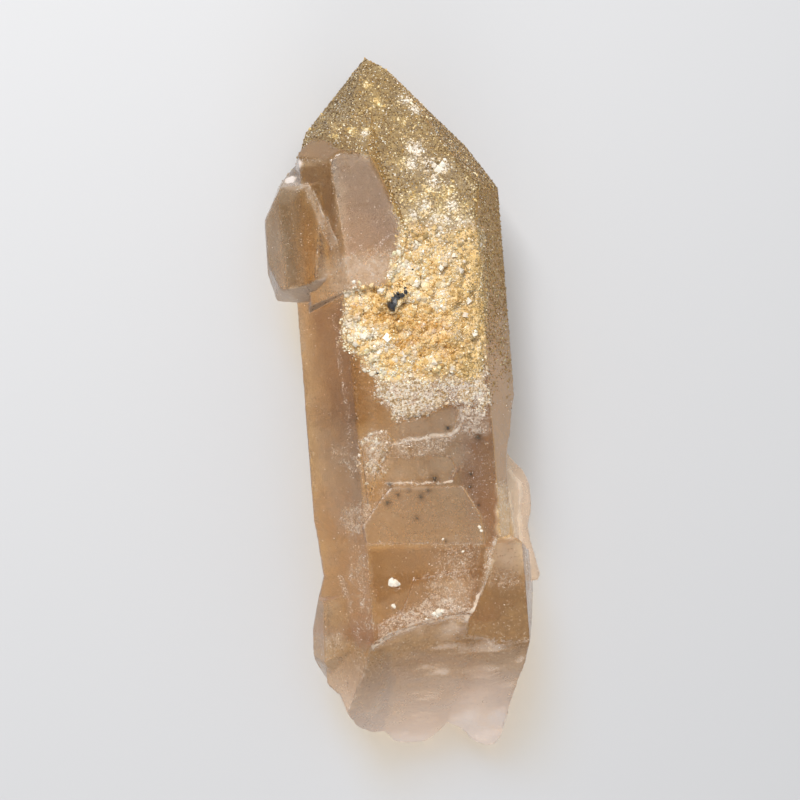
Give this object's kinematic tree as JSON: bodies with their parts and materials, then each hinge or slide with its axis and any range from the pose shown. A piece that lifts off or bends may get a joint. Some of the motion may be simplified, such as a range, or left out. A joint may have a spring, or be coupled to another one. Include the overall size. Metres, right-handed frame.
{
  "type": "citrine crystal point",
  "caption": "Natural quartz point in smoky citrine, lying on its rear prism face, with side crystals, growth ledges, a grainy crust and a broken base.",
  "frame": {"origin": "middle of the footprint, at the height of the rear prism face that the point rests on", "axes": "+Y along the long axis towards the tip, +Z out of the front prism face, +X to the right seen from the front with the tip up"},
  "size_m": [0.064, 0.1776, 0.0436],
  "materials": {
    "citrine": "clear smoky brown quartz, glossy faces with frosted and cloudy areas",
    "druse": "fine sparkling gold, cream and white grains",
    "dark_mineral": "black, slightly metallic"
  },
  "bodies": {
    "root": {"crystal_point": "citrine"}
  },
  "joints": []
}
